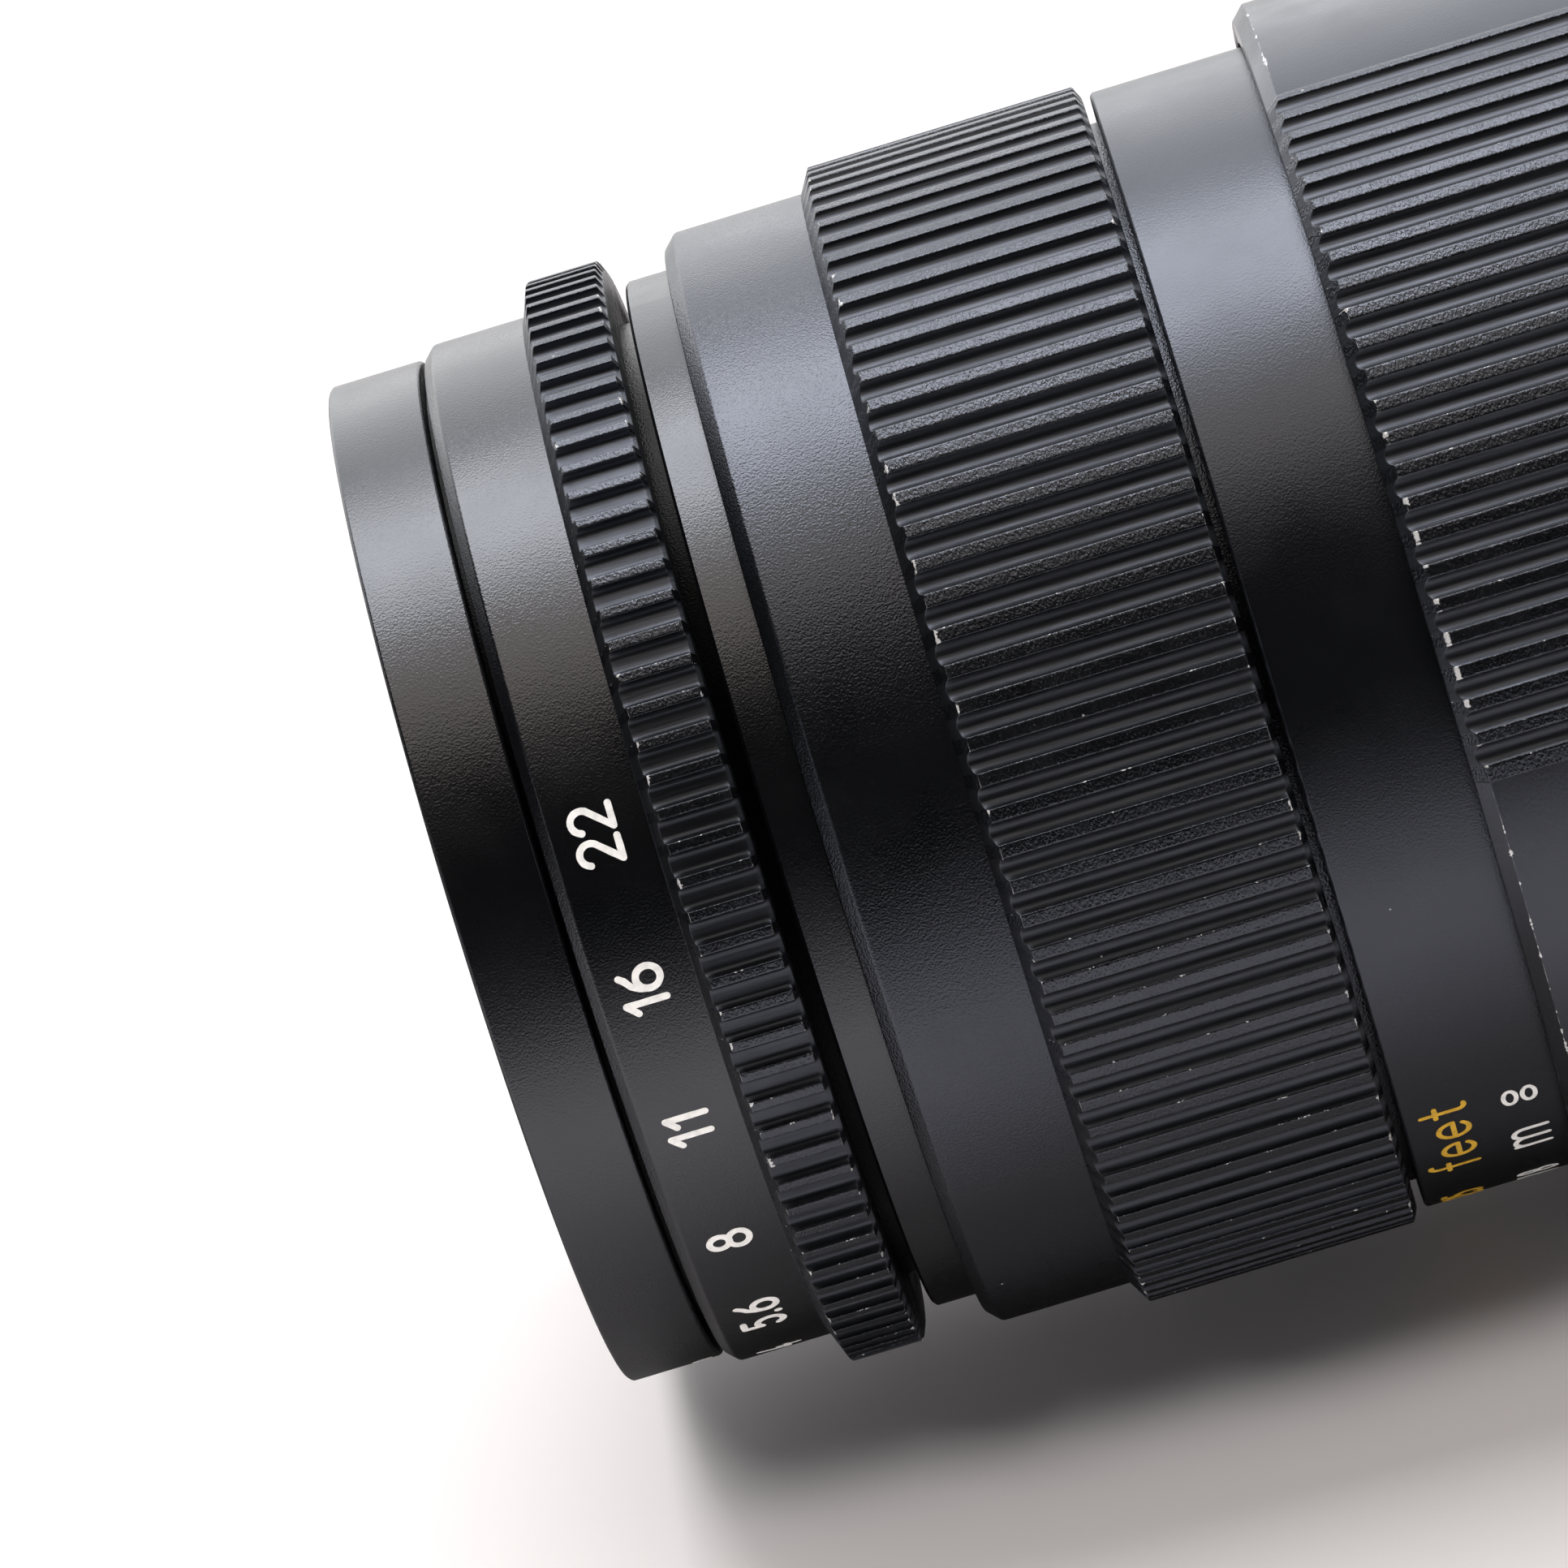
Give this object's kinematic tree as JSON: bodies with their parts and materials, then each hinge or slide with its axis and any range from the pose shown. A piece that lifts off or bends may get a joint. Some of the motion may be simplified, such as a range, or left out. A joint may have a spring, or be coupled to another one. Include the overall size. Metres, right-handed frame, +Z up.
{
  "type": "rangefinder telephoto lens",
  "caption": "Telephoto lens for a rangefinder camera: ribbed focus grip, clicking aperture ring with iris, bayonet mount and rangefinder cam.",
  "frame": {"origin": "centre of the bayonet's flange face, on the optical axis", "axes": "+X along the optical axis towards the camera, the front glass looks to -X; +Z up with the lens lying on its side"},
  "size_m": [0.1207, 0.0524, 0.0524],
  "materials": {
    "black_anodised": "satin black anodised over fine blasted aluminium",
    "black_inner": "matt black lacquer",
    "brass": "turned, greased",
    "steel": "turned",
    "blackened_steel": "blackened",
    "chrome": "satin chrome",
    "coated_glass": "polished, coated",
    "red_paint": "glossy red bead"
  },
  "bodies": {
    "rear_body": {"rear_barrel": "black_anodised", "fixed_helicoid": "brass", "guide_key": "brass", "key_screws": "steel", "infinity_stop": "brass", "barrel_screws": "steel", "base_ring": "black_anodised", "alignment_bead": "red_paint", "bayonet_mount": "chrome", "mount_screws": "steel"},
    "cam_body": {"rangefinder_cam_sleeve": "brass", "rangefinder_cam": "chrome"},
    "lens_head": {"front_rim": "black_anodised", "front_cell": "black_inner", "front_retaining_ring": "black_inner", "lens_element_1": "coated_glass", "element_spacer": "black_inner", "lens_element_2": "coated_glass", "lens_element_3": "coated_glass", "head_barrel": "black_anodised", "iris_base_plate": "black_inner", "click_ball": "steel", "click_spring": "steel", "focus_lock_ring": "black_inner", "rear_cell": "black_inner", "lens_element_4": "coated_glass", "lens_element_5": "coated_glass", "rear_retaining_ring": "black_inner", "guide_tube": "black_inner", "tube_baffle": "black_inner"},
    "focus_ring": {"focus_carrier": "black_anodised", "focus_grip": "black_anodised", "distance_scale_sleeve": "black_anodised", "focus_helicoid": "brass", "helicoid_screws": "steel"},
    "aperture_control": {"aperture_ring": "black_anodised", "aperture_drive_screw": "steel", "iris_drive_sleeve": "black_inner"},
    "blade_01": {"iris_blade_01": "blackened_steel"},
    "blade_02": {"iris_blade_02": "blackened_steel"},
    "blade_03": {"iris_blade_03": "blackened_steel"},
    "blade_04": {"iris_blade_04": "blackened_steel"},
    "blade_05": {"iris_blade_05": "blackened_steel"},
    "blade_06": {"iris_blade_06": "blackened_steel"},
    "blade_07": {"iris_blade_07": "blackened_steel"},
    "blade_08": {"iris_blade_08": "blackened_steel"},
    "blade_09": {"iris_blade_09": "blackened_steel"},
    "blade_10": {"iris_blade_10": "blackened_steel"}
  },
  "joints": [
    {"name": "focus_slide", "type": "slide", "parent": "rear_body", "child": "lens_head", "axis": [-1, 0, 0], "range_m": [-0.00249, 0.01251]},
    {"name": "focus_turn", "type": "hinge", "parent": "lens_head", "child": "focus_ring", "pos_m": [-0.08349, 0, 0], "axis": [-1, 0, 0], "range_deg": [-24.91, 125.11]},
    {"name": "aperture_turn", "type": "hinge", "parent": "lens_head", "child": "aperture_control", "pos_m": [-0.10549, 0, 0], "axis": [1, 0, 0], "range_deg": [0, 85.75]},
    {"name": "cam_slide", "type": "slide", "parent": "rear_body", "child": "cam_body", "axis": [-1, 0, 0], "range_m": [-0.0003, 0.00148]},
    {"name": "blade_01_swing", "type": "hinge", "parent": "lens_head", "child": "blade_01", "pos_m": [-0.09199, 0, 0.0163], "axis": [1, 0, 0], "range_deg": [0, 36.87]},
    {"name": "blade_02_swing", "type": "hinge", "parent": "lens_head", "child": "blade_02", "pos_m": [-0.09199, -0.00958, 0.01319], "axis": [1, 0, 0], "range_deg": [0, 36.87]},
    {"name": "blade_03_swing", "type": "hinge", "parent": "lens_head", "child": "blade_03", "pos_m": [-0.09199, -0.0155, 0.00504], "axis": [1, 0, 0], "range_deg": [0, 36.87]},
    {"name": "blade_04_swing", "type": "hinge", "parent": "lens_head", "child": "blade_04", "pos_m": [-0.09199, -0.0155, -0.00504], "axis": [1, 0, 0], "range_deg": [0, 36.87]},
    {"name": "blade_05_swing", "type": "hinge", "parent": "lens_head", "child": "blade_05", "pos_m": [-0.09199, -0.00958, -0.01319], "axis": [1, 0, 0], "range_deg": [0, 36.87]},
    {"name": "blade_06_swing", "type": "hinge", "parent": "lens_head", "child": "blade_06", "pos_m": [-0.09199, 0, -0.0163], "axis": [1, 0, 0], "range_deg": [0, 36.87]},
    {"name": "blade_07_swing", "type": "hinge", "parent": "lens_head", "child": "blade_07", "pos_m": [-0.09199, 0.00958, -0.01319], "axis": [1, 0, 0], "range_deg": [0, 36.87]},
    {"name": "blade_08_swing", "type": "hinge", "parent": "lens_head", "child": "blade_08", "pos_m": [-0.09199, 0.0155, -0.00504], "axis": [1, 0, 0], "range_deg": [0, 36.87]},
    {"name": "blade_09_swing", "type": "hinge", "parent": "lens_head", "child": "blade_09", "pos_m": [-0.09199, 0.0155, 0.00504], "axis": [1, 0, 0], "range_deg": [0, 36.87]},
    {"name": "blade_10_swing", "type": "hinge", "parent": "lens_head", "child": "blade_10", "pos_m": [-0.09199, 0.00958, 0.01319], "axis": [1, 0, 0], "range_deg": [0, 36.87]}
  ],
  "couplings": [
    {"joint": "focus_turn", "follows": "focus_slide", "rad_per_m": 174.53},
    {"joint": "cam_slide", "follows": "focus_slide", "ratio": 0.11733},
    {"joint": "blade_01_swing", "follows": "aperture_turn", "ratio": 0.4299},
    {"joint": "blade_02_swing", "follows": "aperture_turn", "ratio": 0.4299},
    {"joint": "blade_03_swing", "follows": "aperture_turn", "ratio": 0.4299},
    {"joint": "blade_04_swing", "follows": "aperture_turn", "ratio": 0.4299},
    {"joint": "blade_05_swing", "follows": "aperture_turn", "ratio": 0.4299},
    {"joint": "blade_06_swing", "follows": "aperture_turn", "ratio": 0.4299},
    {"joint": "blade_07_swing", "follows": "aperture_turn", "ratio": 0.4299},
    {"joint": "blade_08_swing", "follows": "aperture_turn", "ratio": 0.4299},
    {"joint": "blade_09_swing", "follows": "aperture_turn", "ratio": 0.4299},
    {"joint": "blade_10_swing", "follows": "aperture_turn", "ratio": 0.4299}
  ]
}
